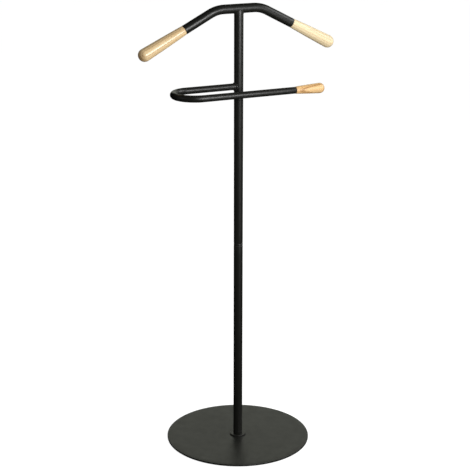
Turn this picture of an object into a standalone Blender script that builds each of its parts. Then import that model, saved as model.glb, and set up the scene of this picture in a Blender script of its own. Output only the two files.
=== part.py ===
# Valet stand: a steel pole on a round base plate, with a bent coat hanger and a
# U-shaped trouser bar welded to it, and three turned beech tips.
# Metres, +Z up. The origin is on the floor under the pole. The hanger runs along X
# and the trouser bar's front run lies towards -Y.

import math

import bmesh
import bpy
from mathutils import Matrix, Vector

OBJECT_NAME = "valet_stand"

# Clearance left between two pieces that touch on the real stand.
GAP = 0.0003

# Floor pads, evenly spaced on a circle under the base plate.
PAD_COUNT = 6
PAD_RADIUS = 0.010
PAD_HEIGHT = 0.002
PAD_CIRCLE_RADIUS = 0.158
PAD_EDGE_ROUND = 0.0004

# Base plate and the disc that the pole stands on.
BASE_RADIUS = 0.1785
BASE_THICKNESS = 0.004
BASE_EDGE_ROUND = 0.0007
FLANGE_RADIUS = 0.020
FLANGE_THICKNESS = 0.0025
FLANGE_EDGE_ROUND = 0.0006

# Pole: two lengths of tube with a ring between them.
POLE_RADIUS = 0.0111
TUBE_WALL = 0.0012
TUBE_END_ROUND = 0.0006
JOINT_HEIGHT = 0.511
RING_HEIGHT = 0.006
RING_CROWN = 0.0003
RING_GROOVE = 0.0009

# Threaded pieces inside the pole.
BOLT_RADIUS = 0.004
BOLT_LENGTH = 0.026
BOLT_HEAD_RADIUS = 0.0075
BOLT_CHAMFER = 0.0006
HEX_SOCKET_RADIUS = 0.0029
HEX_SOCKET_DEPTH = 0.0024
BUSH_LENGTH = 0.022
BUSH_CHAMFER = 0.0008
STUD_LENGTH = 0.040

# Hanger: one bent tube of the pole's diameter. Its middle is level, and each arm
# slopes down from a bend. The lengths run from where the two straights would cross.
HANGER_HEIGHT = 1.0825
HANGER_HALF_FLAT = 0.057
ARM_SLOPE = math.radians(27.0)
ARM_BEND_RADIUS = 0.078
ARM_TUBE_LENGTH = 0.092

# Trouser bar: a thinner tube. The rear run ends on the pole, a half turn leads to
# the front run, and that passes in front of the pole.
BAR_RADIUS = 0.00795
BAR_HEIGHT = 0.900
BAR_DEPTH = 0.100
BAR_BEND_START = 0.135
BAR_FRONT_END = 0.098

# Weld beads.
HANGER_WELD_SIDE = 0.0010
HANGER_WELD_CORNER = 0.0027
BAR_WELD_RADIUS = 0.0022

# Beech tips: a spigot in the tube, a rounded shoulder, then a long taper that ends in
# half a ball.
ARM_TIP = {"start": 0.0110, "end": 0.0153, "taper": 0.110, "shoulder": 0.0011, "spigot": 0.024}
BAR_TIP = {"start": 0.0083, "end": 0.0122, "taper": 0.063, "shoulder": 0.0010, "spigot": 0.020}
TAPER_POWER = 0.8
SPIGOT_CHAMFER = 0.0008

# Screw that holds each tip to the bush in the end of its tube.
ARM_SCREW_RADIUS = 0.0030
BAR_SCREW_RADIUS = 0.0025
SCREW_IN_WOOD = 0.018
END_BUSH_LENGTH = 0.012

# How finely round shapes are divided.
POLE_SIDES = 36
BASE_SIDES = 108
TIP_SIDES = 30
SMALL_SIDES = 20
TUBE_BEVEL_RESOLUTION = 10
BEAD_BEVEL_RESOLUTION = 2
BEAD_STEPS = 32
ROUND_STEPS = 2
BALL_STEPS = 7
TAPER_STEPS = 6
BEND_STEP = math.radians(6.5)
SMOOTH_ANGLE = math.radians(35)
MERGE_DISTANCE = 0.00001

# Heights that follow from the dimensions above.
PLATE_BOTTOM = PAD_HEIGHT
PLATE_TOP = PLATE_BOTTOM + BASE_THICKNESS
FLANGE_BOTTOM = PLATE_TOP + GAP
FLANGE_TOP = FLANGE_BOTTOM + FLANGE_THICKNESS
POLE_BOTTOM = FLANGE_TOP + GAP
RING_BOTTOM = JOINT_HEIGHT - RING_HEIGHT / 2
RING_TOP = JOINT_HEIGHT + RING_HEIGHT / 2
LOWER_POLE_TOP = RING_BOTTOM - GAP
UPPER_POLE_BOTTOM = RING_TOP + GAP

# Radii that follow from the dimensions above.
POLE_BORE = POLE_RADIUS - TUBE_WALL
BUSH_RADIUS = POLE_BORE - GAP
BOLT_HOLE = BOLT_RADIUS + GAP


def clear_scene():
    for obj in list(bpy.data.objects):
        bpy.data.objects.remove(obj, do_unlink=True)


def add_collection(name, is_helper=False):
    collection = bpy.data.collections.new(name)
    collection.hide_render = is_helper
    bpy.context.scene.collection.children.link(collection)
    return collection


# Materials


def make_material(name, colour, roughness, metallic):
    material = bpy.data.materials.new(name)
    material.use_nodes = True
    shader = material.node_tree.nodes["Principled BSDF"]
    shader.inputs["Base Color"].default_value = (*colour, 1.0)
    shader.inputs["Roughness"].default_value = roughness
    shader.inputs["Metallic"].default_value = metallic
    return material


def black_powder_coat():
    return make_material("black_powder_coat", (0.022, 0.022, 0.021), 0.42, 0.0)


def lacquered_beech():
    return make_material("lacquered_beech", (0.72, 0.50, 0.28), 0.30, 0.0)


def zinc_steel():
    return make_material("zinc_steel", (0.60, 0.61, 0.62), 0.35, 1.0)


def plain_steel():
    return make_material("plain_steel", (0.42, 0.42, 0.43), 0.45, 1.0)


def nylon():
    return make_material("nylon", (0.85, 0.84, 0.80), 0.50, 0.0)


def foam_rubber():
    return make_material("foam_rubber", (0.035, 0.035, 0.035), 0.90, 0.0)


# Building blocks


def add_object(name, mesh, collection, material=None):
    obj = bpy.data.objects.new(name, mesh)
    if material:
        mesh.materials.append(material)
    collection.objects.link(obj)
    return obj


def bake(obj, weld=False):
    """Makes the evaluated shape of an object its own mesh, shaded smooth between sharp edges."""
    graph = bpy.context.evaluated_depsgraph_get()
    mesh = bpy.data.meshes.new_from_object(obj.evaluated_get(graph))
    if weld:
        cage = bmesh.new()
        cage.from_mesh(mesh)
        bmesh.ops.remove_doubles(cage, verts=cage.verts, dist=MERGE_DISTANCE)
        bmesh.ops.recalc_face_normals(cage, faces=cage.faces)
        cage.to_mesh(mesh)
        cage.free()
    mesh.name = obj.name
    if obj.type == "MESH":
        obj.modifiers.clear()
        obj.data = mesh
        baked = obj
    else:
        baked = bpy.data.objects.new(obj.name, mesh)
        baked.matrix_world = obj.matrix_world
        obj.users_collection[0].objects.link(baked)
        name = obj.name
        bpy.data.objects.remove(obj, do_unlink=True)
        baked.name = name
    mesh.shade_smooth()
    mesh.set_sharp_from_angle(angle=SMOOTH_ANGLE)
    return baked


def arc(centre_x, centre_z, radius, start, end, steps=ROUND_STEPS):
    """Points of a profile along an arc, with angles in degrees from +X towards +Z."""
    points = []
    for step in range(steps + 1):
        angle = math.radians(start + (end - start) * step / steps)
        x = centre_x + radius * math.cos(angle)
        z = centre_z + radius * math.sin(angle)
        points.append((x, z))
    return points


def add_turned(name, profile, sides, collection, material=None, closed=False):
    """Turns a profile about Z. It runs down the outer side, and a closed one returns up a bore."""
    mesh = bpy.data.meshes.new(name)
    edges = [(i, i + 1) for i in range(len(profile) - 1)]
    if closed:
        edges.append((len(profile) - 1, 0))
    mesh.from_pydata([(x, 0.0, z) for x, z in profile], edges, [])
    obj = add_object(name, mesh, collection, material)
    screw = obj.modifiers.new("Screw", "SCREW")
    screw.axis = "Z"
    screw.steps = sides
    screw.render_steps = sides
    screw.use_merge_vertices = True
    screw.merge_threshold = MERGE_DISTANCE
    return bake(obj)


def add_tube(name, points, radius, collection, material, closed=False, radii=None, fine=True):
    """Sweeps a circle along a path. An open path stays open at its ends until a wall is added."""
    curve = bpy.data.curves.new(name, "CURVE")
    curve.dimensions = "3D"
    curve.bevel_depth = radius
    curve.bevel_resolution = TUBE_BEVEL_RESOLUTION if fine else BEAD_BEVEL_RESOLUTION
    curve.use_fill_caps = False
    spline = curve.splines.new("POLY")
    spline.points.add(len(points) - 1)
    for index, point in enumerate(points):
        spline.points[index].co = (*point, 1.0)
        spline.points[index].radius = radii[index] if radii else 1.0
    spline.use_cyclic_u = closed
    curve.materials.append(material)
    obj = bpy.data.objects.new(name, curve)
    collection.objects.link(obj)
    return bake(obj, weld=True)


def add_wall(obj, thickness):
    """Gives an open tube its wall, inwards from the outer face."""
    solidify = obj.modifiers.new("Wall", "SOLIDIFY")
    solidify.thickness = thickness
    solidify.offset = -1.0
    return bake(obj)


def add_rod(name, radius, start, end, collection, sides=POLE_SIDES):
    """A straight cutter between two points. Its flats lie outside the radius."""
    start = Vector(start)
    end = Vector(end)
    cage = bmesh.new()
    outer = radius / math.cos(math.pi / sides)
    length = (end - start).length
    bmesh.ops.create_cone(
        cage, cap_ends=True, segments=sides, radius1=outer, radius2=outer, depth=length
    )
    mesh = bpy.data.meshes.new(name)
    cage.to_mesh(mesh)
    cage.free()
    rod = add_object(name, mesh, collection)
    turn = (end - start).to_track_quat("Z", "Y").to_matrix().to_4x4()
    rod.matrix_world = Matrix.Translation((start + end) / 2) @ turn
    return as_cutter(rod)


def as_cutter(obj):
    obj.hide_render = True
    obj.display_type = "WIRE"
    return obj


def cut(obj, cutters):
    for cutter in cutters:
        boolean = obj.modifiers.new("Cut", "BOOLEAN")
        boolean.operation = "DIFFERENCE"
        boolean.solver = "EXACT"
        boolean.object = cutter
    bpy.context.view_layer.update()
    return bake(obj)


# Base


def make_floor_pads(parts, material):
    """Thin self-adhesive discs that the whole stand rests on."""
    edge = PAD_EDGE_ROUND
    profile = [(0.0, PAD_HEIGHT - GAP), (PAD_RADIUS, PAD_HEIGHT - GAP)]
    profile += arc(PAD_RADIUS - edge, edge, edge, 0, -90)
    profile += [(0.0, 0.0)]
    for index in range(PAD_COUNT):
        pad = add_turned(f"floor_pad_{index + 1}", profile, SMALL_SIDES, parts, material)
        angle = math.tau * (index + 0.5) / PAD_COUNT
        pad.location = (
            PAD_CIRCLE_RADIUS * math.cos(angle),
            PAD_CIRCLE_RADIUS * math.sin(angle),
            0.0,
        )


def make_base_plate(parts, material):
    """Round steel plate with a countersunk hole at its centre for the bolt from below."""
    edge = BASE_EDGE_ROUND
    sink = BOLT_HEAD_RADIUS + 2 * GAP
    sink_top = PLATE_BOTTOM + sink - BOLT_HOLE
    profile = [(BOLT_HOLE, PLATE_TOP)]
    profile += arc(BASE_RADIUS - edge, PLATE_TOP - edge, edge, 90, 0)
    profile += arc(BASE_RADIUS - edge, PLATE_BOTTOM + edge, edge, 0, -90)
    profile += [(sink, PLATE_BOTTOM), (BOLT_HOLE, sink_top)]
    return add_turned("base_plate", profile, BASE_SIDES, parts, material, closed=True)


def make_foot_flange(parts, material):
    """Flat disc clamped between the pole's foot and the plate."""
    edge = FLANGE_EDGE_ROUND
    profile = [(BOLT_HOLE, FLANGE_TOP)]
    profile += arc(FLANGE_RADIUS - edge, FLANGE_TOP - edge, edge, 90, 0)
    profile += [(FLANGE_RADIUS, FLANGE_BOTTOM), (BOLT_HOLE, FLANGE_BOTTOM)]
    return add_turned("foot_flange", profile, POLE_SIDES, parts, material, closed=True)


def make_base_bolt(parts, cutters, material):
    """Countersunk bolt with a hexagon socket, up through the plate into the pole."""
    bottom = PLATE_BOTTOM + GAP
    cone_top = bottom + BOLT_HEAD_RADIUS - BOLT_RADIUS
    top = bottom + BOLT_LENGTH
    profile = [
        (0.0, top),
        (BOLT_RADIUS - BOLT_CHAMFER, top),
        (BOLT_RADIUS, top - BOLT_CHAMFER),
        (BOLT_RADIUS, cone_top),
        (BOLT_HEAD_RADIUS, bottom),
        (0.0, bottom),
    ]
    bolt = add_turned("base_bolt", profile, SMALL_SIDES, parts, material)
    socket_top = bottom + HEX_SOCKET_DEPTH
    socket = add_rod("cut_hex_socket", HEX_SOCKET_RADIUS, (0, 0, 0), (0, 0, socket_top), cutters, 6)
    return cut(bolt, [socket])


# Pole


def make_pole_tube(name, bottom, top, parts, material):
    """Length of tube with both outer edges rounded over."""
    edge = TUBE_END_ROUND
    profile = [(POLE_BORE, top)]
    profile += arc(POLE_RADIUS - edge, top - edge, edge, 90, 0)
    profile += arc(POLE_RADIUS - edge, bottom + edge, edge, 0, -90)
    profile += [(POLE_BORE, bottom)]
    return add_turned(name, profile, POLE_SIDES, parts, material, closed=True)


def make_lower_pole(parts, material):
    return make_pole_tube("lower_pole", POLE_BOTTOM, LOWER_POLE_TOP, parts, material)


def make_upper_pole(parts, cutters, material):
    """Its top is hollowed to sit against the underside of the hanger."""
    pole = make_pole_tube("upper_pole", UPPER_POLE_BOTTOM, HANGER_HEIGHT, parts, material)
    reach = 3 * POLE_RADIUS
    saddle = add_rod(
        "cut_pole_saddle",
        POLE_RADIUS + GAP,
        (-reach, 0, HANGER_HEIGHT),
        (reach, 0, HANGER_HEIGHT),
        cutters,
    )
    return cut(pole, [saddle])


def make_bush(name, bottom, length, radius, bore, parts, material):
    """Plain round bush with a chamfer at each end of its outer face."""
    top = bottom + length
    profile = [
        (bore, top),
        (radius - BUSH_CHAMFER, top),
        (radius, top - BUSH_CHAMFER),
        (radius, bottom + BUSH_CHAMFER),
        (radius - BUSH_CHAMFER, bottom),
        (bore, bottom),
    ]
    return add_turned(name, profile, SMALL_SIDES, parts, material, closed=True)


def make_pole_bushes(parts, material):
    """Threaded bushes welded in the foot of the pole and on both sides of its joint."""
    places = {
        "foot_bush": POLE_BOTTOM,
        "lower_joint_bush": LOWER_POLE_TOP - BUSH_LENGTH,
        "upper_joint_bush": UPPER_POLE_BOTTOM,
    }
    for name, bottom in places.items():
        make_bush(name, bottom, BUSH_LENGTH, BUSH_RADIUS, BOLT_HOLE, parts, material)


def make_stud_profile(radius, bottom, top):
    return [
        (0.0, top),
        (radius - BOLT_CHAMFER, top),
        (radius, top - BOLT_CHAMFER),
        (radius, bottom + BOLT_CHAMFER),
        (radius - BOLT_CHAMFER, bottom),
        (0.0, bottom),
    ]


def make_joint_stud(parts, material):
    half = STUD_LENGTH / 2
    profile = make_stud_profile(BOLT_RADIUS, JOINT_HEIGHT - half, JOINT_HEIGHT + half)
    return add_turned("joint_stud", profile, SMALL_SIDES, parts, material)


def make_joint_ring(parts, material):
    """Ring between the two tubes, slightly crowned between a shallow groove above and below."""
    crown = POLE_RADIUS + RING_CROWN
    groove = POLE_RADIUS - RING_GROOVE
    quarter = RING_HEIGHT / 4
    profile = [
        (BOLT_HOLE, RING_TOP),
        (groove, RING_TOP),
        (POLE_RADIUS, JOINT_HEIGHT + quarter),
        (crown, JOINT_HEIGHT),
        (POLE_RADIUS, JOINT_HEIGHT - quarter),
        (groove, RING_BOTTOM),
        (BOLT_HOLE, RING_BOTTOM),
    ]
    return add_turned("joint_ring", profile, POLE_SIDES, parts, material, closed=True)


# Hanger


def bend_points(centre, start_direction, side_direction, radius, angle):
    """Points on a bend: it starts along one direction and turns towards the other."""
    steps = max(2, round(angle / BEND_STEP))
    points = []
    for step in range(steps + 1):
        turned = angle * step / steps
        along = start_direction * (radius * math.sin(turned))
        across = side_direction * (radius * (1 - math.cos(turned)))
        points.append(centre + along + across)
    return points


def arm_frame(side):
    """The corner of an arm and the direction in which the arm runs, for side -1 or +1."""
    corner = Vector((side * HANGER_HALF_FLAT, 0.0, HANGER_HEIGHT))
    direction = Vector((side * math.cos(ARM_SLOPE), 0.0, -math.sin(ARM_SLOPE)))
    return corner, direction


def hanger_half(side):
    """Centre line of half the hanger, from its middle outwards."""
    corner, direction = arm_frame(side)
    outwards = Vector((side, 0.0, 0.0))
    down = Vector((0.0, 0.0, -1.0))
    tangent = ARM_BEND_RADIUS * math.tan(ARM_SLOPE / 2)
    bend_start = corner - outwards * tangent
    points = bend_points(bend_start, outwards, down, ARM_BEND_RADIUS, ARM_SLOPE)
    points.append(corner + direction * ARM_TUBE_LENGTH)
    return points


def make_hanger_tube(parts, material):
    points = list(reversed(hanger_half(-1))) + hanger_half(1)
    tube = add_tube("hanger_tube", points, POLE_RADIUS, parts, material)
    return add_wall(tube, TUBE_WALL)


def make_hanger_weld(parts, cutters, material):
    """Bead round the pole's top, thickest in the corners under the hanger."""
    points = []
    radii = []
    for step in range(BEAD_STEPS):
        angle = math.tau * step / BEAD_STEPS
        x = POLE_RADIUS * math.cos(angle)
        y = POLE_RADIUS * math.sin(angle)
        z = HANGER_HEIGHT - math.sqrt(max(POLE_RADIUS**2 - y**2, 0.0))
        points.append((x, y, z))
        corner = math.cos(angle) ** 2
        radii.append(HANGER_WELD_SIDE + (HANGER_WELD_CORNER - HANGER_WELD_SIDE) * corner)
    bead = add_tube(
        "hanger_weld", points, 1.0, parts, material, closed=True, radii=radii, fine=False
    )
    reach = 3 * POLE_RADIUS
    outer = POLE_RADIUS + GAP
    hanger = add_rod(
        "cut_weld_hanger",
        outer,
        (-reach, 0, HANGER_HEIGHT),
        (reach, 0, HANGER_HEIGHT),
        cutters,
    )
    pole = add_rod(
        "cut_weld_pole", outer, (0, 0, HANGER_HEIGHT - reach), (0, 0, HANGER_HEIGHT), cutters
    )
    return cut(bead, [hanger, pole])


# Trouser bar


def bar_path():
    """Centre line from the pole's axis, round the half turn, to the front run's end."""
    left = Vector((-1.0, 0.0, 0.0))
    front = Vector((0.0, -1.0, 0.0))
    turn_start = Vector((-BAR_BEND_START, 0.0, BAR_HEIGHT))
    points = [Vector((0.0, 0.0, BAR_HEIGHT))]
    points += bend_points(turn_start, left, front, BAR_DEPTH / 2, math.pi)
    points.append(Vector((BAR_FRONT_END, -BAR_DEPTH, BAR_HEIGHT)))
    return points


def make_trouser_bar_tube(parts, cutters, material):
    tube = add_tube("trouser_bar_tube", bar_path(), BAR_RADIUS, parts, material)
    tube = add_wall(tube, TUBE_WALL)
    reach = 2 * POLE_RADIUS
    pole = add_rod(
        "cut_bar_saddle",
        POLE_RADIUS + GAP,
        (0, 0, BAR_HEIGHT - reach),
        (0, 0, BAR_HEIGHT + reach),
        cutters,
    )
    return cut(tube, [pole])


def make_trouser_bar_weld(parts, cutters, material):
    """Bead where the rear run meets the side of the pole."""
    points = []
    for step in range(BEAD_STEPS):
        angle = math.tau * step / BEAD_STEPS
        y = BAR_RADIUS * math.cos(angle)
        z = BAR_HEIGHT + BAR_RADIUS * math.sin(angle)
        points.append((-math.sqrt(POLE_RADIUS**2 - y**2), y, z))
    bead = add_tube(
        "trouser_bar_weld", points, BAR_WELD_RADIUS, parts, material, closed=True, fine=False
    )
    reach = 2 * POLE_RADIUS
    pole = add_rod(
        "cut_weld_bar_pole",
        POLE_RADIUS + GAP,
        (0, 0, BAR_HEIGHT - reach),
        (0, 0, BAR_HEIGHT + reach),
        cutters,
    )
    bar = add_rod(
        "cut_weld_bar", BAR_RADIUS + GAP, (-reach, 0, BAR_HEIGHT), (0, 0, BAR_HEIGHT), cutters
    )
    return cut(bead, [pole, bar])


# Beech tips and what holds them. Each is turned with +Z pointing out of its tube,
# with its origin where the tube ends.


def place(obj, end, direction):
    turn = direction.to_track_quat("Z", "Y").to_matrix().to_4x4()
    obj.matrix_world = Matrix.Translation(end) @ turn
    return obj


def tip_profile(size, spigot_radius, hole_radius):
    """From the end of the ball down the taper to the shoulder, spigot and screw hole."""
    start = size["start"]
    end = size["end"]
    taper = size["taper"]
    shoulder = GAP
    ball_centre = shoulder + taper
    profile = arc(0.0, ball_centre, end, 90, 0, BALL_STEPS)
    profile[0] = (0.0, ball_centre + end)
    for step in range(TAPER_STEPS - 1, 0, -1):
        share = step / TAPER_STEPS
        profile.append((start + (end - start) * share**TAPER_POWER, shoulder + taper * share))
    edge = size["shoulder"]
    profile += arc(start - edge, shoulder + edge, edge, 0, -90)
    profile.append((spigot_radius, shoulder))
    profile.append((spigot_radius, SPIGOT_CHAMFER - size["spigot"]))
    profile.append((spigot_radius - SPIGOT_CHAMFER, -size["spigot"]))
    profile.append((hole_radius, -size["spigot"]))
    profile.append((hole_radius, SCREW_IN_WOOD + GAP))
    profile.append((0.0, SCREW_IN_WOOD + GAP))
    return profile


def make_tip(name, size, tube_radius, screw_radius, end, direction, parts, materials):
    """One beech tip, its screw, and the bush in the tube that the screw runs into."""
    bore = tube_radius - TUBE_WALL
    hole = screw_radius + GAP
    wood = add_turned(
        f"{name}_tip", tip_profile(size, bore - GAP, hole), TIP_SIDES, parts, materials["wood"]
    )
    place(wood, end, direction)
    bush_bottom = -size["spigot"] - GAP - END_BUSH_LENGTH
    screw_profile = make_stud_profile(screw_radius, bush_bottom, SCREW_IN_WOOD)
    screw = add_turned(f"{name}_tip_screw", screw_profile, SMALL_SIDES, parts, materials["zinc"])
    place(screw, end, direction)
    bush = make_bush(
        f"{name}_end_bush", bush_bottom, END_BUSH_LENGTH, bore - GAP, hole, parts, materials["nylon"]
    )
    place(bush, end, direction)


def make_tips(parts, materials):
    for name, side in (("left", -1), ("right", 1)):
        corner, direction = arm_frame(side)
        end = corner + direction * ARM_TUBE_LENGTH
        make_tip(name, ARM_TIP, POLE_RADIUS, ARM_SCREW_RADIUS, end, direction, parts, materials)
    end = Vector((BAR_FRONT_END, -BAR_DEPTH, BAR_HEIGHT))
    direction = Vector((1.0, 0.0, 0.0))
    make_tip("bar", BAR_TIP, BAR_RADIUS, BAR_SCREW_RADIUS, end, direction, parts, materials)


def main():
    clear_scene()
    parts = add_collection(OBJECT_NAME)
    cutters = add_collection("cutters", is_helper=True)
    coat = black_powder_coat()
    steel = plain_steel()
    zinc = zinc_steel()

    make_floor_pads(parts, foam_rubber())
    make_base_plate(parts, coat)
    make_base_bolt(parts, cutters, zinc)
    make_foot_flange(parts, coat)
    make_lower_pole(parts, coat)
    make_upper_pole(parts, cutters, coat)
    make_pole_bushes(parts, steel)
    make_joint_stud(parts, zinc)
    make_joint_ring(parts, coat)
    make_hanger_tube(parts, coat)
    make_hanger_weld(parts, cutters, coat)
    make_trouser_bar_tube(parts, cutters, coat)
    make_trouser_bar_weld(parts, cutters, coat)
    make_tips(parts, {"wood": lacquered_beech(), "zinc": zinc, "nylon": nylon()})


main()
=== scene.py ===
import math

import bmesh
import bpy
from mathutils import Matrix, Vector


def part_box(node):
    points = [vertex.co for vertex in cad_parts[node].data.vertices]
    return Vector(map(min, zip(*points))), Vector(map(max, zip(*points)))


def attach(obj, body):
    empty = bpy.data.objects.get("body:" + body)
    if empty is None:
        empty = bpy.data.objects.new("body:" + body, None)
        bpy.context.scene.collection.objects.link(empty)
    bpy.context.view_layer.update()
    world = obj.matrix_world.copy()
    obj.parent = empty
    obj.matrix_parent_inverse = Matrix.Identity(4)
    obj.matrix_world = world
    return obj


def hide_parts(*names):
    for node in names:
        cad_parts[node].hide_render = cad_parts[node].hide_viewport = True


# Valet stand. Every visible piece is built here to its finished shape, in the place of its
# CAD node. Metres, +Z up, the floor at 0, the hanger along X and the trouser bar towards -Y.

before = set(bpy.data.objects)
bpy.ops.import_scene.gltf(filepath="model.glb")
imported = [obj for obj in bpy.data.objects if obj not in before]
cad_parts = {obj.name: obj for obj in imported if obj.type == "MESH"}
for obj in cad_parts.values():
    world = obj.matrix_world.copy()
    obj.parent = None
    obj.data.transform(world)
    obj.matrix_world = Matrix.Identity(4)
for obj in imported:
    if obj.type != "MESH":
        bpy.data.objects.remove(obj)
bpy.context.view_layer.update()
clearance = 0.0003  # left between pieces that touch
smoothAngle = math.radians(38)
wearAngles = (math.radians(9), math.radians(22))  # the coat starts to rub thin, and is thin
print("frame loaded with", len(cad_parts), "nodes")


# Reading sizes off the frame

def sizeOf(node):
    low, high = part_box(node)
    return high - low


def middleOf(node):
    low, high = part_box(node)
    return (low + high) / 2


poleRadius = sizeOf("lower_pole").x / 2
hangerRadius = sizeOf("hanger_tube").y / 2
barRadius = sizeOf("trouser_bar_tube").z / 2
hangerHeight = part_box("hanger_tube")[1].z - hangerRadius
barHeight = middleOf("trouser_bar_tube").z


# Shared mesh code

def markWear(body):
    # convex edges are where the coat rubs thin, and the materials read it as edgeWear
    layer = body.verts.layers.float.new("edgeWear")
    start, full = wearAngles
    for vert in body.verts:
        angles = [edge.calc_face_angle_signed(0.0) for edge in vert.link_edges]
        vert[layer] = min(1.0, max(0.0, (max(angles) - start) / (full - start)))


def finishMesh(name, body):
    bmesh.ops.recalc_face_normals(body, faces=body.faces)
    markWear(body)
    mesh = bpy.data.meshes.new(name)
    body.to_mesh(mesh)
    body.free()
    mesh.shade_smooth()
    mesh.set_sharp_from_angle(angle=smoothAngle)
    return mesh


def skinRings(name, rings, closed=False, tips=()):
    # quads between one ring and the next; tips are points that close the first and last ring
    body = bmesh.new()
    rows = [[body.verts.new(point) for point in ring] for ring in rings]
    pairs = list(zip(rows, rows[1:]))
    if closed:
        pairs.append((rows[-1], rows[0]))
    for near, far in pairs:
        for i in range(len(near)):
            j = (i + 1) % len(near)
            body.faces.new((near[i], near[j], far[j], far[i]))
    for row, tip in zip((rows[0], rows[-1]), tips):
        point = body.verts.new(tip)
        for i in range(len(row)):
            body.faces.new((row[i], row[(i + 1) % len(row)], point))
    return finishMesh(name, body)


def turnedRings(profile, sides):
    rings = []
    for radius, height in profile:
        ring = []
        for i in range(sides):
            angle = math.tau * i / sides
            ring.append(Vector((radius * math.cos(angle), radius * math.sin(angle), height)))
        rings.append(ring)
    return rings


def arcPoints(centre, radius, fromAngle, toAngle, steps):
    # angles in degrees, 0 straight out from the axis and 90 up
    points = []
    for step in range(steps + 1):
        angle = math.radians(fromAngle + (toAngle - fromAngle) * step / steps)
        points.append((centre[0] + radius * math.cos(angle), centre[1] + radius * math.sin(angle)))
    return points


def between(start, end, count):
    # points inside the straight from start to end, without its ends
    points = []
    for step in range(1, count + 1):
        share = step / (count + 1)
        points.append(tuple(a + (b - a) * share for a, b in zip(start, end)))
    return points


def addPiece(name, mesh, material, node, place=None):
    piece = bpy.data.objects.new(name, mesh)
    bpy.context.scene.collection.objects.link(piece)
    mesh.materials.append(material)
    if place:
        piece.matrix_world = place
    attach(piece, "root")
    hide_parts(node)


# Materials

def startMaterial(name):
    material = bpy.data.materials.new(name)
    material.use_nodes = True
    tree = material.node_tree
    return material, tree, tree.nodes["Principled BSDF"]


def addNode(tree, kind, inputs, **settings):
    # an input is either a plain value or the socket that feeds it
    node = tree.nodes.new("ShaderNode" + kind)
    for name, value in settings.items():
        setattr(node, name, value)
    setInputs(tree, node, inputs)
    return node


def setInputs(tree, node, inputs):
    for name, value in inputs.items():
        if isinstance(value, bpy.types.NodeSocket):
            tree.links.new(value, node.inputs[name])
        else:
            node.inputs[name].default_value = value


def objectCoords(tree):
    return addNode(tree, "TexCoord", {}).outputs["Object"]


def woodCoords(tree, scale=(1, 1, 1), move=(0, 0, 0), turn=(0, 0, 0)):
    # each tip keeps the coordinates it was turned in, with +Z along the grain
    coords = addNode(tree, "Attribute", {}, attribute_name="woodCoords").outputs["Vector"]
    inputs = {"Vector": coords, "Location": move, "Rotation": turn, "Scale": scale}
    return addNode(tree, "Mapping", inputs).outputs["Vector"]


def noise(tree, coords, scale, detail=2.0, roughness=0.5, distortion=0.0):
    inputs = {"Vector": coords, "Scale": scale, "Detail": detail}
    inputs.update({"Roughness": roughness, "Distortion": distortion})
    return addNode(tree, "TexNoise", inputs).outputs["Fac"]


def waves(tree, coords, period, inputs, **settings):
    # a wave texture repeats every pi / 10 at a scale of 1
    inputs = {"Vector": coords, "Scale": math.pi / 10 / period, **inputs}
    return addNode(tree, "TexWave", inputs, **settings).outputs["Fac"]


def ramp(tree, factor, stops):
    node = addNode(tree, "ValToRGB", {"Fac": factor})
    elements = node.color_ramp.elements
    elements.remove(elements[1])
    elements[0].position = stops[0][0]
    elements[0].color = (*stops[0][1], 1.0)
    for position, colour in stops[1:]:
        elements.new(position).color = (*colour, 1.0)
    return node.outputs["Color"]


def spread(tree, factor, low, high, fromLow=0.3, fromHigh=0.7):
    inputs = {"Value": factor, "From Min": fromLow, "From Max": fromHigh}
    inputs.update({"To Min": low, "To Max": high})
    return addNode(tree, "MapRange", inputs).outputs["Result"]


def calculate(tree, operation, first, second):
    return addNode(tree, "Math", {0: first, 1: second}, operation=operation).outputs["Value"]


def mix(tree, factor, first, second, blend="MIX"):
    inputs = {"Fac": factor, "Color1": first, "Color2": second}
    return addNode(tree, "MixRGB", inputs, blend_type=blend).outputs["Color"]


def bump(tree, height, strength, distance, normal=None):
    inputs = {"Height": height, "Strength": strength, "Distance": distance}
    if normal:
        inputs["Normal"] = normal
    return addNode(tree, "Bump", inputs).outputs["Normal"]


powderCoat = {
    "dark": (0.0098, 0.0100, 0.0082),
    "light": (0.0108, 0.0110, 0.0091),
    "worn": (0.034, 0.033, 0.031),
    "speckDark": (0.86, 0.86, 0.86),
    "speckLight": (1.1, 1.1, 1.1),
    "roughness": (0.35, 0.41),
    "wornShine": 0.1,  # how much smoother a rubbed edge is
    "patchScale": 16,
    "hazeScale": 55,
    "rubScale": 240,
    "peelScale": 420,
    "grainScale": 1500,
    "peelHeight": 0.00007,
    "grainHeight": 0.000015,
}


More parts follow.
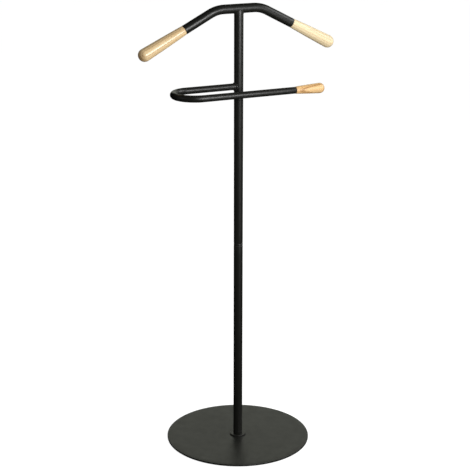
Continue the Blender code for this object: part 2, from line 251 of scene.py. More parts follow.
def makePowderCoat():
    # satin black coat: soft orange peel, fine grain, faint patches, thinner on its edges
    values = powderCoat
    material, tree, shader = startMaterial("satinBlackPowderCoat")
    coords = objectCoords(tree)
    patches = noise(tree, coords, values["patchScale"], 4, 0.6)
    peel = noise(tree, coords, values["peelScale"], 2, 0.4)
    grain = noise(tree, coords, values["grainScale"], 3, 0.6)

    colour = ramp(tree, patches, [(0.3, values["dark"]), (0.7, values["light"])])
    specks = ramp(tree, grain, [(0.35, values["speckDark"]), (0.65, values["speckLight"])])
    colour = mix(tree, 1.0, colour, specks, "MULTIPLY")

    edge = addNode(tree, "Attribute", {}, attribute_name="edgeWear").outputs["Fac"]
    rubbed = spread(tree, noise(tree, coords, values["rubScale"], 4, 0.65), 0.1, 0.9, 0.42, 0.62)
    wear = calculate(tree, "MULTIPLY", edge, rubbed)
    colour = mix(tree, wear, colour, (*values["worn"], 1))

    low, high = values["roughness"]
    roughness = spread(tree, noise(tree, coords, values["hazeScale"], 3), low, high)
    shine = calculate(tree, "MULTIPLY", wear, values["wornShine"])
    roughness = calculate(tree, "SUBTRACT", roughness, shine)
    normal = bump(tree, peel, 0.5, values["peelHeight"])
    normal = bump(tree, grain, 0.5, values["grainHeight"], normal)
    setInputs(tree, shader, {"Base Color": colour, "Roughness": roughness, "Normal": normal})
    setInputs(tree, shader, {"Metallic": 0.0, "IOR": 1.5, "Specular IOR Level": 0.5})
    return material


beech = {
    "swayScale": (60, 60, 14),
    "boardScale": (90, 90, 10),
    "fibreScale": (1100, 1100, 26),
    "fibreDark": (0.92, 0.90, 0.87),
    "fibreLight": (1.02, 1.02, 1.02),
    "fibreHeight": 0.00003,
    "fleckLength": 0.0028,
    "fleckWidth": 0.00035,
    "fleckStrength": 0.55,
    "latheMark": 0.0007,
    "latheHeight": 0.00002,
    "roughness": (0.34, 0.46),
    "coatRoughness": 0.23,
    "endGrain": (0.50, 0.40, 0.29),
    "endDepth": 0.012,  # how far the darker end grain, with the painted shade on the left tip's end, reaches back from the end
}

# The three tips are cut from different boards, so each has its own colour and run of grain. The
# right tip's paler colours are partly painted light, for the strong light on its top from the upper
# right.
tipWood = {
    "left": {
        "pale": (0.86, 0.65, 0.37),
        "tan": (0.75, 0.53, 0.27),
        "line": (0.45, 0.27, 0.11),
        "heart": (0.030, 0.012, 0.0),
        "tilt": (1.0, -1.0),
        "ringWidth": 0.0046,
        "waver": 0.0010,
        "lines": 0.6,
        "gloss": 0.6,
        # painted shade: the left tip's end is darkened far more than the other tips', for the shade
        # on it
        "endGrainAndShade": 0.9,
    },
    "right": {
        # partly painted light: these paler colours stand in for the light falling on the right
        # tip's top
        "pale": (0.93, 0.78, 0.50),
        "tan": (0.86, 0.68, 0.41),
        "line": (0.58, 0.39, 0.19),
        "heart": (-0.030, 0.020, 0.0),
        "tilt": (-1.0, 2.0),
        "ringWidth": 0.0060,
        "waver": 0.0012,
        "lines": 0.5,
        "gloss": 0.4,
        "endGrainAndShade": 0.2,
    },
    "bar": {
        "pale": (0.80, 0.53, 0.25),
        "tan": (0.72, 0.43, 0.18),
        "line": (0.42, 0.22, 0.075),
        "heart": (0.010, 0.0, 0.0),
        "tilt": (0.0, 0.0),
        "ringWidth": 0.0069,
        "waver": 0.0012,
        "lines": 0.85,
        "gloss": 0.25,
        "endGrainAndShade": 0.3,
    },
}


def makeGrowthRings(tree, wood):
    # rings round a heart off the tip's axis, bent a little by a slow sway along the grain
    tilt = tuple(math.radians(angle) for angle in wood["tilt"])
    coords = woodCoords(tree, move=[-a for a in wood["heart"]], turn=(*tilt, 0))
    inputs = {"Vector": woodCoords(tree, scale=beech["swayScale"]), "Scale": 1.0, "Detail": 2.0}
    sway = addNode(tree, "TexNoise", inputs).outputs["Color"]
    inputs = {0: sway, 1: (0.5, 0.5, 0.5)}
    sway = addNode(tree, "VectorMath", inputs, operation="SUBTRACT").outputs[0]
    inputs = {0: sway, "Scale": 4 * wood["waver"]}
    sway = addNode(tree, "VectorMath", inputs, operation="SCALE").outputs[0]
    bent = addNode(tree, "VectorMath", {0: coords, 1: sway}, operation="ADD").outputs[0]
    growth = waves(
        tree,
        bent,
        wood["ringWidth"],
        {"Distortion": 0.6, "Detail": 2.0, "Detail Scale": 1.5},
        wave_type="RINGS",
        rings_direction="Z",
        wave_profile="SAW",
    )
    pale, tan, line = wood["pale"], wood["tan"], wood["line"]
    stops = [(0.0, pale), (0.45, pale), (0.72, tan), (0.84, line), (0.93, line), (1.0, pale)]
    return ramp(tree, growth, stops)


def makeBeech(name, wood, length):
    # growth rings, long fibres, short dark flecks, darker end grain with painted shade on the left
    # tip's end, clear lacquer
    material, tree, shader = startMaterial(name)
    rings = makeGrowthRings(tree, wood)
    boards = noise(tree, woodCoords(tree, scale=beech["boardScale"]), 1.0, 3)
    ground = ramp(tree, boards, [(0.3, wood["pale"]), (0.7, wood["tan"])])
    colour = mix(tree, wood["lines"], ground, rings)

    fibre = noise(tree, woodCoords(tree, scale=beech["fibreScale"]), 1.0, 3, 0.6)
    tone = ramp(tree, fibre, [(0.3, beech["fibreDark"]), (0.6, beech["fibreLight"])])
    colour = mix(tree, 1.0, colour, tone, "MULTIPLY")

    across, along = 1 / beech["fleckWidth"], 1 / beech["fleckLength"]
    flecks = noise(tree, woodCoords(tree, scale=(across / 3, across, along)), 1.0, 1, 0.4)
    flecks = spread(tree, flecks, 0.0, beech["fleckStrength"], 0.64, 0.74)
    colour = mix(tree, flecks, colour, (*wood["line"], 1))

    # the open end grain takes up more lacquer and goes darker over the dome; on the left tip this
    # darkening is mostly painted shade, for the shade on its end that faces away from the light
    height = addNode(tree, "SeparateXYZ", {"Vector": woodCoords(tree)}).outputs["Z"]
    domed = spread(tree, height, 0.0, wood["endGrainAndShade"], length - beech["endDepth"], length)
    colour = mix(tree, domed, colour, mix(tree, 1.0, colour, (*beech["endGrain"], 1), "MULTIPLY"))

    lathe = waves(
        tree,
        woodCoords(tree),
        beech["latheMark"],
        {"Distortion": 1.0, "Detail Scale": 0.4},
        wave_type="BANDS",
        bands_direction="Z",
    )
    normal = bump(tree, fibre, 0.25, beech["fibreHeight"])
    normal = bump(tree, lathe, 0.10, beech["latheHeight"], normal)
    low, high = beech["roughness"]
    roughness = spread(tree, fibre, high, low)
    setInputs(tree, shader, {"Base Color": colour, "Roughness": roughness, "Normal": normal})
    setInputs(tree, shader, {"Coat Weight": wood["gloss"], "IOR": 1.5})
    setInputs(tree, shader, {"Coat Roughness": beech["coatRoughness"], "Coat IOR": 1.5})
    return material


turnedSteel = {
    "zincDark": (0.52, 0.53, 0.55),
    "zincLight": (0.66, 0.67, 0.67),
    "zincRoughness": (0.24, 0.36),
    "bareDark": (0.30, 0.30, 0.31),
    "bareLight": (0.42, 0.42, 0.43),
    "bareRoughness": (0.34, 0.48),
    "bloomScale": 180,
    "markScale": (60, 60, 6000),
    "markHeight": 0.00002,
}


def makeTurnedSteel(name, dark, light, roughness):
    # bar stock from the lathe: fine rings along the piece, with light blooms in the surface
    material, tree, shader = startMaterial(name)
    coords = objectCoords(tree)
    bloom = noise(tree, coords, turnedSteel["bloomScale"], 4, 0.6)
    colour = ramp(tree, bloom, [(0.3, dark), (0.7, light)])
    stretched = addNode(tree, "Mapping", {"Vector": coords, "Scale": turnedSteel["markScale"]})
    marks = noise(tree, stretched.outputs["Vector"], 1.0, 2)
    normal = bump(tree, marks, 0.4, turnedSteel["markHeight"])
    low, high = roughness
    setInputs(tree, shader, {"Base Color": colour, "Normal": normal, "Metallic": 1.0})
    setInputs(tree, shader, {"Roughness": spread(tree, marks, low, high)})
    return material


nylonLook = {
    "dark": (0.66, 0.64, 0.57),
    "light": (0.78, 0.76, 0.70),
    "roughness": (0.38, 0.5),
    "flowScale": 130,
    "skinScale": 900,
    "skinHeight": 0.00002,
    "glowThrough": 0.2,
    "glowDepth": 0.002,
}


def makeNylon():
    # natural moulded nylon: waxy, with flow streaks
    values = nylonLook
    material, tree, shader = startMaterial("naturalNylon")
    coords = objectCoords(tree)
    flow = noise(tree, coords, values["flowScale"], 3, 0.5, 1.5)
    colour = ramp(tree, flow, [(0.3, values["dark"]), (0.7, values["light"])])
    normal = bump(tree, noise(tree, coords, values["skinScale"], 2), 0.3, values["skinHeight"])
    low, high = values["roughness"]
    setInputs(tree, shader, {"Base Color": colour, "Normal": normal, "Metallic": 0.0})
    setInputs(tree, shader, {"Roughness": spread(tree, flow, low, high)})
    setInputs(tree, shader, {"Subsurface Weight": values["glowThrough"]})
    setInputs(tree, shader, {"Subsurface Scale": values["glowDepth"]})
    return material


foamLook = {
    "dark": (0.012, 0.012, 0.012),
    "dusty": (0.034, 0.033, 0.031),
    "roughness": (0.78, 0.95),
    "cellScale": 1700,
    "cellHeight": 0.0001,
    "dustScale": 300,
}


def makeFoamRubber():
    # closed-cell foam: small round cells with patches of dust
    values = foamLook
    material, tree, shader = startMaterial("blackFoamRubber")
    coords = objectCoords(tree)
    inputs = {"Vector": coords, "Scale": values["cellScale"]}
    cells = addNode(tree, "TexVoronoi", inputs).outputs["Distance"]
    dust = noise(tree, coords, values["dustScale"], 4, 0.7)
    colour = ramp(tree, dust, [(0.4, values["dark"]), (0.75, values["dusty"])])
    normal = bump(tree, cells, 0.8, values["cellHeight"])
    low, high = values["roughness"]
    setInputs(tree, shader, {"Base Color": colour, "Normal": normal, "Metallic": 0.0})
    setInputs(tree, shader, {"Roughness": spread(tree, dust, low, high)})
    return material


coat = makePowderCoat()
zinc = makeTurnedSteel(
    "brightZinc", turnedSteel["zincDark"], turnedSteel["zincLight"], turnedSteel["zincRoughness"]
)
bareSteel = makeTurnedSteel(
    "bareSteel", turnedSteel["bareDark"], turnedSteel["bareLight"], turnedSteel["bareRoughness"]
)
nylon = makeNylon()
foam = makeFoamRubber()
print("materials made")


# Base plate, foot disc, pads and the bolt from below

plate = {
    "topRound": 0.0010,
    "bottomRound": 0.0004,
    "roundSteps": 5,
    "sides": 192,
    "faceRings": 12,
    "boltHole": 0.0043,
    "sinkMouth": 0.0081,
}


def makeBasePlate():
    low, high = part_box("base_plate")
    radius = high.x
    topRound, bottomRound = plate["topRound"], plate["bottomRound"]
    hole, mouth = plate["boltHole"], plate["sinkMouth"]
    steps = plate["roundSteps"]
    top = arcPoints((radius - topRound, high.z - topRound), topRound, 90, 0, steps)
    bottom = arcPoints((radius - bottomRound, low.z + bottomRound), bottomRound, 0, -90, steps)
    profile = [(hole, high.z)]
    profile += between(profile[0], top[0], plate["faceRings"])
    profile += top + bottom
    profile += between(bottom[-1], (mouth, low.z), plate["faceRings"])
    profile += [(mouth, low.z), (hole, low.z + mouth - hole)]
    mesh = skinRings("basePlateSheet", turnedRings(profile, plate["sides"]), closed=True)
    addPiece("basePlateSheet", mesh, coat, "base_plate")


footDisc = {"edgeRound": 0.0008, "roundSteps": 5, "sides": 96, "faceRings": 3}


def makeFootDisc():
    low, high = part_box("foot_flange")
    radius = high.x
    edge, hole = footDisc["edgeRound"], plate["boltHole"]
    top = arcPoints((radius - edge, high.z - edge), edge, 90, 0, footDisc["roundSteps"])
    profile = [(hole, high.z)] + between((hole, high.z), top[0], footDisc["faceRings"]) + top
    profile += [(radius, low.z)]
    profile += between((radius, low.z), (hole, low.z), footDisc["faceRings"])
    profile += [(hole, low.z)]
    mesh = skinRings("footDisc", turnedRings(profile, footDisc["sides"]), closed=True)
    addPiece("footDisc", mesh, coat, "foot_flange")


pad = {"count": 6, "bulge": 0.0003, "edgeRound": 0.0005, "roundSteps": 4, "sides": 48}


def makeFloorPad(number):
    # a foam disc whose side swells a little under the weight of the stand
    node = f"floor_pad_{number}"
    centre, size = middleOf(node), sizeOf(node)
    radius, half = size.x / 2 - pad["bulge"], size.z / 2
    edge, steps = pad["edgeRound"], pad["roundSteps"]
    profile = arcPoints((radius - edge, edge - half), edge, -90, 0, steps)
    profile += [(radius + pad["bulge"], 0.0)]
    profile += arcPoints((radius - edge, half - edge), edge, 0, 90, steps)
    ends = [(0, 0, -half), (0, 0, half)]
    mesh = skinRings(f"floorPad{number}", turnedRings(profile, pad["sides"]), tips=ends)
    place = Matrix.Translation(centre)
    addPiece(f"floorPad{number}", mesh, foam, node, place)


bolt = {
    "sides": 48,
    "pitch": 0.00125,
    "threadDepth": 0.0005,
    "stepsPerTurn": 8,
    "socketFlats": 0.0050,
    "socketDepth": 0.0024,
    "socketCone": 0.0008,
    "rimChamfer": 0.0002,
    "chamfer": 0.0007,
}


def hexRing(flats, height, sides):
    ring = []
    for i in range(sides):
        angle = math.tau * i / sides
        fromFlat = (angle + math.pi / 6) % (math.pi / 3) - math.pi / 6
        radius = flats / 2 / math.cos(fromFlat)
        ring.append(Vector((radius * math.cos(angle), radius * math.sin(angle), height)))
    return ring


def threadRings(radius, bottom, top, pitch, depth, sides, stepsPerTurn):
    # a screw thread as a wavy rod: the wave climbs one pitch in each turn
    count = round((top - bottom) / pitch * stepsPerTurn)
    rings = []
    for step in range(count + 1):
        height = bottom + (top - bottom) * step / count
        fromEnd = min(height - bottom, top - height)
        full = min(1.0, fromEnd / pitch)
        ring = []
        for i in range(sides):
            angle = math.tau * i / sides
            turn = (height / pitch - i / sides) % 1.0
            groove = 1 - abs(2 * turn - 1)
            reach = radius - depth * (groove * full + (1 - full))
            ring.append(Vector((reach * math.cos(angle), reach * math.sin(angle), height)))
        rings.append(ring)
    return rings


def makeBaseBolt():
    low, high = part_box("base_bolt")
    head, sides = high.x, bolt["sides"]
    shank = sizeOf("joint_stud").x / 2  # the stud has the bolt's thread
    rim, chamfer, pitch = bolt["rimChamfer"], bolt["chamfer"], bolt["pitch"]
    mouth, socketFloor = low.z, low.z + bolt["socketDepth"]
    coneTop = low.z + head - shank
    rings = [hexRing(bolt["socketFlats"], height, sides) for height in (socketFloor, mouth)]
    rings += turnedRings([(head - rim, mouth), (head, mouth + rim), (shank, coneTop)], sides)
    rings += threadRings(
        shank,
        coneTop + pitch,
        high.z - chamfer,
        pitch,
        bolt["threadDepth"],
        sides,
        bolt["stepsPerTurn"],
    )
    rings += turnedRings([(shank - chamfer, high.z)], sides)
    ends = [(0, 0, socketFloor + bolt["socketCone"]), (0, 0, high.z)]
    mesh = skinRings("baseBolt", rings, tips=ends)
    addPiece("baseBolt", mesh, zinc, "base_bolt")


makeBasePlate()
makeFootDisc()
for padNumber in range(1, pad["count"] + 1):
    makeFloorPad(padNumber)
makeBaseBolt()
print("base built")


# Pole: two tubes and the ring between them

pole = {
    "sides": 96,
    "wall": 0.0012,
    "endRound": 0.0007,
    "roundSteps": 4,
    "rings": 20,
    "saddleStart": 1.5,  # in hanger radii below the hanger's middle
}


def tubeProfile(radius, wall, bottom, top, endRound, steps, count):
    # up the outside and down the bore
    inner = radius - wall
    lower = arcPoints((radius - endRound, bottom + endRound), endRound, -90, 0, steps)
    upper = arcPoints((radius - endRound, top - endRound), endRound, 0, 90, steps)
    profile = lower + between(lower[-1], upper[0], count) + upper + [(inner, top)]
    profile += between((inner, top), (inner, bottom), count) + [(inner, bottom)]
    return profile


def makeLowerPole():
    low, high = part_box("lower_pole")
    profile = tubeProfile(
        poleRadius, pole["wall"], low.z, high.z, pole["endRound"], pole["roundSteps"], pole["rings"]
    )
    mesh = skinRings("lowerPoleTube", turnedRings(profile, pole["sides"]), closed=True)
    addPiece("lowerPoleTube", mesh, coat, "lower_pole")


def makeUpperPole():
    # the top is hollowed to the curve of the hanger that lies in it
    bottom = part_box("upper_pole")[0].z
    endRound, steps, sides = pole["endRound"], pole["roundSteps"], pole["sides"]
    inner = poleRadius - pole["wall"]
    straightTop = hangerHeight - pole["saddleStart"] * hangerRadius
    lower = arcPoints((poleRadius - endRound, bottom + endRound), endRound, -90, 0, steps)
    outside = lower + between(lower[-1], (poleRadius, straightTop), pole["rings"])
    outside += [(poleRadius, straightTop)]
    inside = [(inner, straightTop)]
    inside += between((inner, straightTop), (inner, bottom), pole["rings"]) + [(inner, bottom)]
    saddle = turnedRings([(poleRadius, 0.0), (inner, 0.0)], sides)
    for ring in saddle:
        for point in ring:
            reach = (hangerRadius + clearance) ** 2 - point.y**2
            point.z = hangerHeight - math.sqrt(max(reach, 0.0))
    rings = turnedRings(outside, sides) + saddle + turnedRings(inside, sides)
    mesh = skinRings("upperPoleTube", rings, closed=True)
    addPiece("upperPoleTube", mesh, coat, "upper_pole")


ringBand = {
    "crown": 0.0003,  # how far the band swells past the pole
    "crownSteps": 8,
    "crownShare": 0.95,  # of the band's half height
    "groove": 0.0009,
    "grooveSlope": 0.0002,
    "shoulder": 0.0003,
    "edgeDrop": 0.0001,
}


def makeJointRing():
    # a swelled band between two grooves
    low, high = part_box("joint_ring")
    hole, slope = plate["boltHole"], ringBand["grooveSlope"]
    middle, half = (low.z + high.z) / 2, (high.z - low.z) / 4
    groove, shoulder = poleRadius - ringBand["groove"], poleRadius - ringBand["shoulder"]
    crown = poleRadius + ringBand["crown"]
    fall = crown - poleRadius + ringBand["edgeDrop"]
    profile = [(hole, low.z), (groove, low.z)]
    profile += [(groove, middle - half - slope), (shoulder, middle - half)]
    for step in range(ringBand["crownSteps"] + 1):
        share = 2 * step / ringBand["crownSteps"] - 1
        height = middle + half * ringBand["crownShare"] * share
        profile.append((crown - fall * share**2, height))
    profile += [(shoulder, middle + half), (groove, middle + half + slope)]
    profile += [(groove, high.z), (hole, high.z)]
    mesh = skinRings("jointRing", turnedRings(profile, pole["sides"]), closed=True)
    addPiece("jointRing", mesh, coat, "joint_ring")


makeLowerPole()
makeUpperPole()
makeJointRing()
print("pole built")


# Bent tubes

bendEase = 3  # points on each side that a bend's flattening is averaged over
shortest = 0.001  # a straight under this length gets no points of its own


def bentPath(corners, bendRadius, straightSteps, bendStep):
    # points, directions and bend of a line through the corners, each rounded to the bend radius
    path = []
    start = corners[0]
    for before, corner, after in zip(corners, corners[1:], corners[2:]):
        arriving = (corner - before).normalized()
        leaving = (after - corner).normalized()
        angle = arriving.angle(leaving)
        tangent = bendRadius * math.tan(angle / 2)
        inwards = (leaving - arriving * arriving.dot(leaving)).normalized()
        bendStart = corner - arriving * tangent
        path += straightPoints(start, bendStart, arriving, straightSteps)
        count = max(2, round(angle / math.radians(bendStep)))
        for step in range(count + 1):
            turned = angle * step / count
            along = arriving * math.cos(turned) + inwards * math.sin(turned)
            point = bendStart + arriving * (bendRadius * math.sin(turned))
            point += inwards * (bendRadius * (1 - math.cos(turned)))
            path.append((point, along, 1.0))
        start = corner + leaving * tangent
    leaving = (corners[-1] - corners[-2]).normalized()
    path += straightPoints(start, corners[-1], leaving, straightSteps)
    return path


def straightPoints(start, end, along, steps):
    # the points inside a straight; its ends belong to the bends, or to the tube's own ends
    points = []
    if (end - start).length > shortest:
        for step in range(1, steps):
            points.append((start.lerp(end, step / steps), along, 0.0))
    return points


def easeBends(path):
    # a bend flattens a tube gradually, so its share is averaged with its neighbours
    shares = [share for _, _, share in path]
    eased = []
    for i, (point, along, _) in enumerate(path):
        first = max(0, i - bendEase)
        near = shares[first:i + bendEase + 1]
        eased.append((point, along, sum(near) / len(near)))
    return eased


def tubeRing(point, along, across, radius, sides, flatten=0.0):
    inPlane = across.cross(along).normalized()
    ring = []
    for i in range(sides):
        angle = math.tau * i / sides
        offset = inPlane * (radius * (1 - flatten) * math.cos(angle))
        offset += across * (radius * (1 + flatten) * math.sin(angle))
        ring.append(point + offset)
    return ring


def wallRings(path, across, radius, tube):
    # one wall of a bent tube, the outside or the bore
    rings = []
    for point, along, share in easeBends(path):
        flatten = tube["flatten"] * share
        rings.append(tubeRing(point, along, across, radius, tube["sides"], flatten))
    return rings


def endLip(end, along, across, radius, tube, outward):
    # rings over the rounded edge of a cut tube, in the order of the path
    rings = []
    endRound, steps = tube["endRound"], tube["lipSteps"]
    for step in range(steps + 1):
        angle = math.pi / 2 * step / steps
        centre = end - outward * along * endRound * (1 - math.sin(angle))
        lipRadius = radius - endRound * (1 - math.cos(angle))
        rings.append(tubeRing(centre, along, across, lipRadius, tube["sides"]))
    return rings if outward > 0 else rings[::-1]


hanger = {
    "halfFlat": 0.057,
    "armSlope": 27.0,
    "bendRadius": 0.078,
    "armLength": 0.092,
    "wall": 0.0012,
    "endRound": 0.0011,
    "lipSteps": 5,
    "sides": 80,
    "straightSteps": 8,
    "bendStep": 1.5,
    "flatten": 0.02,
}


def armDirection(side):
    slope = math.radians(hanger["armSlope"])
    return Vector((side * math.cos(slope), 0.0, -math.sin(slope)))


def armCorner(side):
    return Vector((side * hanger["halfFlat"], 0.0, hangerHeight))


def armEnd(side):
    return armCorner(side) + armDirection(side) * hanger["armLength"]


def makeHanger():
    corners = [armEnd(-1), armCorner(-1), armCorner(1), armEnd(1)]
    path = bentPath(corners, hanger["bendRadius"], hanger["straightSteps"], hanger["bendStep"])
    across, inner = Vector((0, 1, 0)), hangerRadius - hanger["wall"]
    begin, finish = -armDirection(-1), armDirection(1)
    outside = endLip(corners[0], begin, across, hangerRadius, hanger, -1)
    outside += wallRings(path, across, hangerRadius, hanger)
    outside += endLip(corners[-1], finish, across, hangerRadius, hanger, 1)
    inside = [tubeRing(corners[0], begin, across, inner, hanger["sides"])]
    inside += wallRings(path, across, inner, hanger)
    inside.append(tubeRing(corners[-1], finish, across, inner, hanger["sides"]))
    mesh = skinRings("hangerTube", outside + inside[::-1], closed=True)
    addPiece("hangerTube", mesh, coat, "hanger_tube")


bar = {
    "wall": 0.0012,
    "endRound": 0.0009,
    "lipSteps": 5,
    "sides": 64,
    "straightSteps": 10,
    "bendStep": 4.0,
    "flatten": 0.025,
}


def barEnd():
    low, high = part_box("trouser_bar_tube")
    return Vector((high.x, low.y + barRadius, barHeight))


def makeTrouserBar():
    # the rear run is cut to the curve of the pole and the front run ends in a rounded lip
    end = barEnd()
    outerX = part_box("trouser_bar_tube")[0].x + barRadius
    corners = [
        Vector((-poleRadius, 0.0, barHeight)),
        Vector((outerX, 0.0, barHeight)),
        Vector((outerX, end.y, barHeight)),
        end,
    ]
    path = bentPath(corners, -end.y / 2, bar["straightSteps"], bar["bendStep"])
    across, inner = Vector((0, 0, 1)), barRadius - bar["wall"]
    begin, finish = Vector((-1, 0, 0)), Vector((1, 0, 0))
    walls = []
    for radius in (barRadius, inner):
        cut = tubeRing(corners[0], begin, across, radius, bar["sides"])
        for point in cut:
            point.x = -math.sqrt((poleRadius + clearance) ** 2 - point.y**2)
        walls.append([cut] + wallRings(path, across, radius, bar))
    outside, inside = walls
    outside += endLip(end, finish, across, barRadius, bar, 1)
    inside.append(tubeRing(end, finish, across, inner, bar["sides"]))
    mesh = skinRings("trouserBarTube", outside + inside[::-1], closed=True)
    addPiece("trouserBarTube", mesh, coat, "trouser_bar_tube")


makeHanger()
makeTrouserBar()
print("hanger and trouser bar built")


# Weld beads: a row of overlapping drops laid round each joint

weld = {
    "dropLength": 0.0017,
    "stepsPerDrop": 6,
    "dropHeight": 0.09,
    "dropMiddle": 0.6,  # height in a drop where the bead has its plain radius
    "sides": 16,
    "hangerSide": 0.0011,
    "hangerCorner": 0.0015,
    "hangerSeam": 1.22,  # the saddle seam's length over a flat circle's
    "barBead": 0.0022,
    "barSeam": 1.08,
}


def beadRings(pointAt, radiusAt, outwardAt, length):
    # the bead's line, its radius and its way out from the joint, for a share of the way round
    drops = round(length / weld["dropLength"])
    count = drops * weld["stepsPerDrop"]
    rings = []
    for step in range(count):
        share = step / count
        point = pointAt(share)
        along = (pointAt(share + 0.5 / count) - pointAt(share - 0.5 / count)).normalized()
        across = along.cross(outwardAt(point)).normalized()
        drop = (step / weld["stepsPerDrop"]) % 1.0
        swell = 1 + weld["dropHeight"] * (math.sin(math.pi * drop) - weld["dropMiddle"])
        rings.append(tubeRing(point, along, across, radiusAt(share) * swell, weld["sides"]))
    return rings


def makeHangerWeld():
    def pointAt(share):
        angle = math.tau * share
        x, y = poleRadius * math.cos(angle), poleRadius * math.sin(angle)
        return Vector((x, y, hangerHeight - math.sqrt(max(hangerRadius**2 - y**2, 0.0))))

    def radiusAt(share):
        corner = math.cos(math.tau * share) ** 2
        return weld["hangerSide"] + (weld["hangerCorner"] - weld["hangerSide"]) * corner

    def outwardAt(point):
        return Vector((point.x, point.y, 0.0))

    length = math.tau * poleRadius * weld["hangerSeam"]
    rings = beadRings(pointAt, radiusAt, outwardAt, length)
    mesh = skinRings("hangerWeldBead", rings, closed=True)
    addPiece("hangerWeldBead", mesh, coat, "hanger_weld")


def makeBarWeld():
    def pointAt(share):
        angle = math.tau * share
        y, z = barRadius * math.cos(angle), barRadius * math.sin(angle)
        return Vector((-math.sqrt(poleRadius**2 - y**2), y, barHeight + z))

    def radiusAt(share):
        return weld["barBead"]

    def outwardAt(point):
        return Vector((0.0, point.y, point.z - barHeight))

    length = math.tau * barRadius * weld["barSeam"]
    rings = beadRings(pointAt, radiusAt, outwardAt, length)
    mesh = skinRings("trouserBarWeldBead", rings, closed=True)
    addPiece("trouserBarWeldBead", mesh, coat, "trouser_bar_weld")


makeHangerWeld()
makeBarWeld()
print("welds laid")


# Beech tips, turned with +Z out of the tube and the origin at the tube's end

tip = {
    "sides": 96,
    "taperPower": 0.8,
    "taperSteps": 28,
    "domeSteps": 20,
    "shoulderSteps": 6,
    "shoulderStart": -80,  # degrees, just clear of the spigot
    "spigotChamfer": 0.0008,
    "screwDepth": 0.018,
}
armTip = {
    "neck": 0.0110,
    "end": 0.0153,
    "taper": 0.110,
    "shoulder": 0.0011,
    "spigot": 0.024,
    "screw": 0.0030,
    "bore": hangerRadius - hanger["wall"],
}
barTip = {
    "neck": 0.0083,
    "end": 0.0122,
    "taper": 0.063,
    "shoulder": 0.0010,
    "spigot": 0.020,
    "screw": 0.0025,
    "bore": barRadius - bar["wall"],
}


def tipProfile(shape):
    # from the screw hole out over the spigot and the shoulder, up the taper and over the dome
    neck, end, taper = shape["neck"], shape["end"], shape["taper"]
    spigot, depth = shape["bore"] - clearance, shape["spigot"]
    hole = shape["screw"] + clearance
    chamfer, edge = tip["spigotChamfer"], shape["shoulder"]
    profile = [(hole, tip["screwDepth"] + clearance), (hole, -depth)]
    profile += [(spigot - chamfer, -depth), (spigot, chamfer - depth), (spigot, clearance)]
    profile += arcPoints(
        (neck - edge, clearance + edge), edge, tip["shoulderStart"], 0, tip["shoulderSteps"]
    )
    for step in range(1, tip["taperSteps"]):
        share = step / tip["taperSteps"]
        share = edge / taper + (1 - edge / taper) * share
        radius = neck + (end - neck) * share ** tip["taperPower"]
        profile.append((radius, clearance + taper * share))
    dome = arcPoints((0.0, clearance + taper), end, 0, 90, tip["domeSteps"])
    return profile + dome[:-1]


def makeTip(side, node, shape, end, along):
    profile = tipProfile(shape)
    material = makeBeech(side + "TipBeech", tipWood[side], profile[-1][1])
    holeEnd = tip["screwDepth"] + clearance
    ends = [(0, 0, holeEnd), (0, 0, clearance + shape["taper"] + shape["end"])]
    name = side + "BeechTip"
    mesh = skinRings(name, turnedRings(profile, tip["sides"]), tips=ends)
    turned = mesh.attributes.new("woodCoords", "FLOAT_VECTOR", "POINT")
    for point, vert in zip(turned.data, mesh.vertices):
        point.vector = vert.co
    mesh.transform(Matrix.Translation(end) @ along.to_track_quat("Z", "Y").to_matrix().to_4x4())
    addPiece(name, mesh, material, node)


makeTip("left", "left_tip", armTip, armEnd(-1), armDirection(-1))
makeTip("right", "right_tip", armTip, armEnd(1), armDirection(1))
makeTip("bar", "bar_tip", barTip, barEnd(), Vector((1, 0, 0)))
print("beech tips turned")


# Threaded and moulded pieces inside the tubes keep their CAD shape

innerPieces = {
    "foot_bush": bareSteel,
    "lower_joint_bush": bareSteel,
    "upper_joint_bush": bareSteel,
    "joint_stud": zinc,
    "left_tip_screw": zinc,
    "right_tip_screw": zinc,
    "bar_tip_screw": zinc,
    "left_end_bush": nylon,
    "right_end_bush": nylon,
    "bar_end_bush": nylon,
}
for node, material in innerPieces.items():
    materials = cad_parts[node].data.materials
    materials.clear()
    materials.append(material)
print("inner pieces finished")


# Floor, light and camera

floorLook = {
    "radius": 30.0,
    "rings": 24,
    "sides": 96,
    "colour": (0.34, 0.34, 0.335),
    "shade": (0.30, 0.30, 0.295),
    "roughness": 0.9,
    "glow": 0.915,
    "patchScale": 1.2,
    "patchDetail": 3,
    "textureScale": 160,
    "textureHeight": 0.0005,
}
backdropLook = {"glow": 1.0, "patchScale": 0.1, "patchDetail": 2}


def makePale(name, look):
    material, tree, shader = startMaterial(name)
    patches = noise(tree, objectCoords(tree), look["patchScale"], look["patchDetail"])
    colour = ramp(tree, patches, [(0.3, floorLook["shade"]), (0.7, floorLook["colour"])])
    setInputs(tree, shader, {"Base Color": colour, "Roughness": floorLook["roughness"]})
    setInputs(tree, shader, {"Emission Color": (1, 1, 1, 1), "Emission Strength": look["glow"]})
    return material, tree, shader


def addStage(name, mesh, material):
    # stays out of reflections and bounced light
    stage = bpy.data.objects.new(name, mesh)
    bpy.context.scene.collection.objects.link(stage)
    mesh.materials.append(material)
    stage.visible_glossy = False
    stage.visible_diffuse = False
    return stage


def makeFloor():
    material, tree, shader = makePale("paleFloor", floorLook)
    texture = noise(tree, objectCoords(tree), floorLook["textureScale"], 3)
    setInputs(tree, shader, {"Normal": bump(tree, texture, 0.1, floorLook["textureHeight"])})
    profile = []
    for step in range(floorLook["rings"] + 1):
        share = (step + 1) / (floorLook["rings"] + 1)
        profile.append((floorLook["radius"] * share**3, 0.0))
    mesh = skinRings("floor", turnedRings(profile, floorLook["sides"]), tips=[(0, 0, 0)])
    addStage("floor", mesh, material)


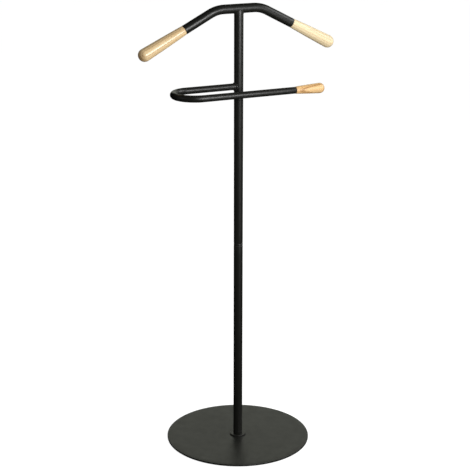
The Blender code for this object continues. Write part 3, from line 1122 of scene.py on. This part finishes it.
def makeBackdrop():
    # a plain white dome past the floor's edge, which only the camera sees
    material = makePale("paleBackdrop", backdropLook)[0]
    profile = arcPoints((0.0, 0.0), floorLook["radius"], 0, 90, floorLook["rings"])[:-1]
    mesh = skinRings("backdrop", turnedRings(profile, floorLook["sides"]))
    addStage("backdrop", mesh, material).visible_shadow = False


# azimuth 0 is straight in front of the stand, and 90 on its right
lights = {
    "frontPanel": {
        "azimuth": 8.0,
        "distance": 1.25,
        "height": 1.14,
        "size": (0.56, 0.40),
        "radiance": 18.0,
    },
    "rightPanel": {
        "azimuth": 70.0,
        "distance": 2.6,
        "height": 1.95,
        "size": (1.6, 1.4),
        "radiance": 5.0,
    },
    "lowFrontPanel": {
        "azimuth": 20.0,
        "distance": 1.35,
        "height": 0.28,
        "size": (0.35, 0.45),
        "radiance": 1.5,
    },
    "leftPanel": {
        "azimuth": -88.0,
        "distance": 2.8,
        "height": 1.4,
        "size": (1.0, 1.6),
        "radiance": 0.4,
    },
    "backPanel": {
        "azimuth": 144.0,
        "distance": 3.0,
        "height": 1.5,
        "size": (3.6, 1.8),
        "radiance": 0.70,
        "colour": (0.97, 1.0, 0.87),
    },
}
white = (1.0, 1.0, 1.0)
lightTarget = Vector((0, 0, 0.75))
ambient = {"colour": white, "strength": 0.30}


def fromAzimuth(azimuth, distance, height):
    angle = math.radians(azimuth)
    return Vector((math.sin(angle) * distance, -math.cos(angle) * distance, height))


def makeLights():
    for name, panel in lights.items():
        width, tall = panel["size"]
        light = bpy.data.lights.new(name, "AREA")
        light.shape = "RECTANGLE"
        light.size, light.size_y = width, tall
        light.color = panel.get("colour", white)
        light.energy = panel["radiance"] * math.pi * width * tall
        lamp = bpy.data.objects.new(name, light)
        place = fromAzimuth(panel["azimuth"], panel["distance"], panel["height"])
        lamp.location = place
        lamp.rotation_euler = (lightTarget - place).to_track_quat("-Z", "Y").to_euler()
        lamp.visible_camera = False
        bpy.context.scene.collection.objects.link(lamp)


def makeWorld():
    world = bpy.data.worlds.new("paleStudio")
    world.use_nodes = True
    background = world.node_tree.nodes["Background"]
    background.inputs["Color"].default_value = (*ambient["colour"], 1.0)
    background.inputs["Strength"].default_value = ambient["strength"]
    world.cycles_visibility.glossy = False
    bpy.context.scene.world = world


view = {
    "azimuth": -26.13,
    "distance": 3.1995,
    "height": 1.5099,
    "down": 16.968,
    "turn": 0.141,
    "roll": 0.105,
    "lens": 105.3,
    "sensor": 36.0,
}


def makeCamera():
    lens = bpy.data.cameras.new("camera")
    lens.lens = view["lens"]
    lens.sensor_width = view["sensor"]
    camera = bpy.data.objects.new("camera", lens)
    turn = Matrix.Rotation(math.radians(view["azimuth"] + view["turn"]), 4, "Z")
    tilt = Matrix.Rotation(math.radians(90 - view["down"]), 4, "X")
    roll = Matrix.Rotation(math.radians(view["roll"]), 4, "Z")
    place = fromAzimuth(view["azimuth"], view["distance"], view["height"])
    camera.matrix_world = Matrix.Translation(place) @ turn @ tilt @ roll
    bpy.context.scene.collection.objects.link(camera)
    bpy.context.scene.camera = camera


makeFloor()
makeBackdrop()
makeLights()
makeWorld()
makeCamera()
bpy.context.scene.view_settings.view_transform = "Standard"
print("floor, lights and camera placed")
